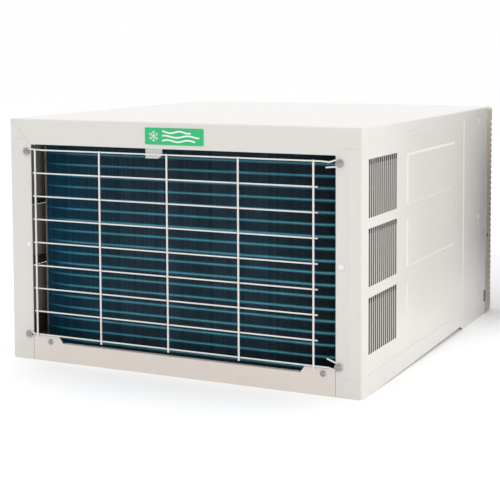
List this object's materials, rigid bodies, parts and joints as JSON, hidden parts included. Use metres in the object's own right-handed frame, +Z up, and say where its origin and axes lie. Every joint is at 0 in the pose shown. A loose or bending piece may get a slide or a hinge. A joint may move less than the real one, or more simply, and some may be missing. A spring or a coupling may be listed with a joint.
{
  "type": "window air conditioner",
  "caption": "Window air conditioner in a louvred white sheet-steel cabinet: wire guard over a dark blue coil at the back, slide-out chassis and plastic room-side panel with vanes and knobs.",
  "frame": {"origin": "middle of the footprint, on the surface the unit stands on", "axes": "+Z up, +Y towards the outdoor end with the coil and guard, -Y towards the room, +X to the right as seen from the room"},
  "size_m": [0.6628, 0.776, 0.425],
  "materials": {
    "cabinet_paint": "semi-gloss powder coat, warm white",
    "rail_paint": "semi-gloss powder coat, slightly pinkish beige",
    "galvanised_sheet": "galvanised sheet with faint spangle",
    "guard_wire": "white dipped coating on steel wire",
    "zinc_screw": "zinc plated",
    "painted_screw": "painted over with the cabinet",
    "badge_green": "gloss green plate with white relief",
    "clip_plastic": "light grey moulded plastic",
    "coated_fin": "thin fins with a dark blue protective coating",
    "copper_tube": "drawn copper tube",
    "inner_paint": "grey primer on pressed steel",
    "motor_black": "black stoved enamel",
    "shaft_steel": "ground steel",
    "fan_plastic": "glass-filled black plastic",
    "duct_foam": "moulded white foam",
    "rubber_black": "soft black rubber",
    "panel_plastic": "fine-textured warm white moulding",
    "vane_plastic": "fine-textured moulding",
    "filter_mesh": "woven plastic mesh in a grey frame",
    "control_grey": "mid grey moulding with raised marks",
    "knob_plastic": "smooth moulded knob",
    "switch_black": "black phenolic switch case",
    "capacitor_can": "drawn aluminium can",
    "bare_fin": "bare aluminium fins"
  },
  "bodies": {
    "cabinet": {"outer_cabinet": "cabinet_paint", "cabinet_base": "galvanised_sheet", "rear_bottom_rail": "rail_paint", "wire_guard": "guard_wire", "guard_screws": "zinc_screw", "flange_screws": "painted_screw", "rail_screws": "zinc_screw", "badge_plate": "badge_green", "retainer_clip": "clip_plastic"},
    "chassis": {"chassis_pan": "galvanised_sheet", "condenser_fins": "coated_fin", "condenser_end_plates": "galvanised_sheet", "condenser_return_bends": "copper_tube", "fan_shroud": "inner_paint", "fan_motor": "motor_black", "motor_bracket": "galvanised_sheet", "bulkhead": "inner_paint", "blower_scroll": "galvanised_sheet", "discharge_duct": "duct_foam", "evaporator_fins": "bare_fin", "evaporator_end_plates": "galvanised_sheet", "evaporator_return_bends": "copper_tube", "drain_tray": "duct_foam", "compressor_shell": "motor_black", "compressor_mount": "motor_black", "compressor_grommets": "rubber_black", "compressor_bolts": "zinc_screw", "terminal_cover": "switch_black", "accumulator": "motor_black", "discharge_line": "copper_tube", "suction_line": "copper_tube", "capillary_tube": "copper_tube", "top_brace": "galvanised_sheet", "control_box": "galvanised_sheet", "run_capacitor": "capacitor_can", "capacitor_clamp": "zinc_screw", "control_plate": "control_grey", "mode_switch_body": "switch_black", "thermostat_switch_body": "switch_black", "front_panel": "panel_plastic", "panel_side_screws": "zinc_screw", "cord_gland": "rubber_black"},
    "rotor": {"motor_shaft": "shaft_steel", "condenser_fan": "fan_plastic", "blower_wheel": "galvanised_sheet"},
    "grille": {"intake_grille": "panel_plastic", "air_filter": "filter_mesh"},
    "vane_link": {"vane_link": "control_grey"},
    "mode_knob": {"mode_knob": "knob_plastic"},
    "thermostat_knob": {"thermostat_knob": "knob_plastic"},
    "vent_pull": {"vent_pull": "knob_plastic"},
    "vent_door": {"vent_door": "inner_paint"},
    "level_vane_1": {"level_vane_1": "vane_plastic"},
    "level_vane_2": {"level_vane_2": "vane_plastic"},
    "level_vane_3": {"level_vane_3": "vane_plastic"},
    "upright_vane_1": {"upright_vane_1": "vane_plastic"},
    "upright_vane_2": {"upright_vane_2": "vane_plastic"},
    "upright_vane_3": {"upright_vane_3": "vane_plastic"},
    "upright_vane_4": {"upright_vane_4": "vane_plastic"},
    "upright_vane_5": {"upright_vane_5": "vane_plastic"}
  },
  "joints": [
    {"name": "chassis_slide", "type": "slide", "parent": "cabinet", "child": "chassis", "axis": [0, -1, 0], "range_m": [0, 0.6]},
    {"name": "rotor_spin", "type": "hinge", "parent": "chassis", "child": "rotor", "pos_m": [0.04, 0, 0.19], "axis": [0, 1, 0], "continuous": true},
    {"name": "grille_hinge", "type": "hinge", "parent": "chassis", "child": "grille", "pos_m": [-0.055, -0.382, 0.039], "axis": [1, 0, 0], "range_deg": [0, 80]},
    {"name": "level_vane_1_pivot", "type": "hinge", "parent": "chassis", "child": "level_vane_1", "pos_m": [0, -0.369, 0.327], "axis": [1, 0, 0], "range_deg": [-40, 40]},
    {"name": "level_vane_2_pivot", "type": "hinge", "parent": "chassis", "child": "level_vane_2", "pos_m": [0, -0.369, 0.352], "axis": [1, 0, 0], "range_deg": [-40, 40]},
    {"name": "level_vane_3_pivot", "type": "hinge", "parent": "chassis", "child": "level_vane_3", "pos_m": [0, -0.369, 0.377], "axis": [1, 0, 0], "range_deg": [-40, 40]},
    {"name": "upright_vane_1_pivot", "type": "hinge", "parent": "chassis", "child": "upright_vane_1", "pos_m": [-0.23, -0.334, 0.352], "axis": [0, 0, 1], "range_deg": [-35, 35]},
    {"name": "upright_vane_2_pivot", "type": "hinge", "parent": "chassis", "child": "upright_vane_2", "pos_m": [-0.115, -0.334, 0.352], "axis": [0, 0, 1], "range_deg": [-35, 35]},
    {"name": "upright_vane_3_pivot", "type": "hinge", "parent": "chassis", "child": "upright_vane_3", "pos_m": [0, -0.334, 0.352], "axis": [0, 0, 1], "range_deg": [-35, 35]},
    {"name": "upright_vane_4_pivot", "type": "hinge", "parent": "chassis", "child": "upright_vane_4", "pos_m": [0.115, -0.334, 0.352], "axis": [0, 0, 1], "range_deg": [-35, 35]},
    {"name": "upright_vane_5_pivot", "type": "hinge", "parent": "chassis", "child": "upright_vane_5", "pos_m": [0.23, -0.334, 0.352], "axis": [0, 0, 1], "range_deg": [-35, 35]},
    {"name": "vane_link_slide", "type": "slide", "parent": "chassis", "child": "vane_link", "axis": [1, 0, 0], "range_m": [-0.0092, 0.0092]},
    {"name": "mode_knob_turn", "type": "hinge", "parent": "chassis", "child": "mode_knob", "pos_m": [0.245, -0.368, 0.23], "axis": [0, -1, 0], "range_deg": [-120, 120]},
    {"name": "thermostat_knob_turn", "type": "hinge", "parent": "chassis", "child": "thermostat_knob", "pos_m": [0.245, -0.368, 0.15], "axis": [0, -1, 0], "range_deg": [-120, 120]},
    {"name": "vent_pull_slide", "type": "slide", "parent": "chassis", "child": "vent_pull", "axis": [0, -1, 0], "range_m": [0, 0.018]},
    {"name": "vent_door_hinge", "type": "hinge", "parent": "chassis", "child": "vent_door", "pos_m": [0.245, -0.117, 0.108], "axis": [-1, 0, 0], "range_deg": [0, 29]}
  ],
  "couplings": [
    {"joint": "upright_vane_2_pivot", "follows": "upright_vane_1_pivot", "ratio": 1},
    {"joint": "upright_vane_3_pivot", "follows": "upright_vane_1_pivot", "ratio": 1},
    {"joint": "upright_vane_4_pivot", "follows": "upright_vane_1_pivot", "ratio": 1},
    {"joint": "upright_vane_5_pivot", "follows": "upright_vane_1_pivot", "ratio": 1},
    {"joint": "vane_link_slide", "follows": "upright_vane_1_pivot", "m_per_rad": -0.01502},
    {"joint": "vent_door_hinge", "follows": "vent_pull_slide", "rad_per_m": 27.7}
  ]
}
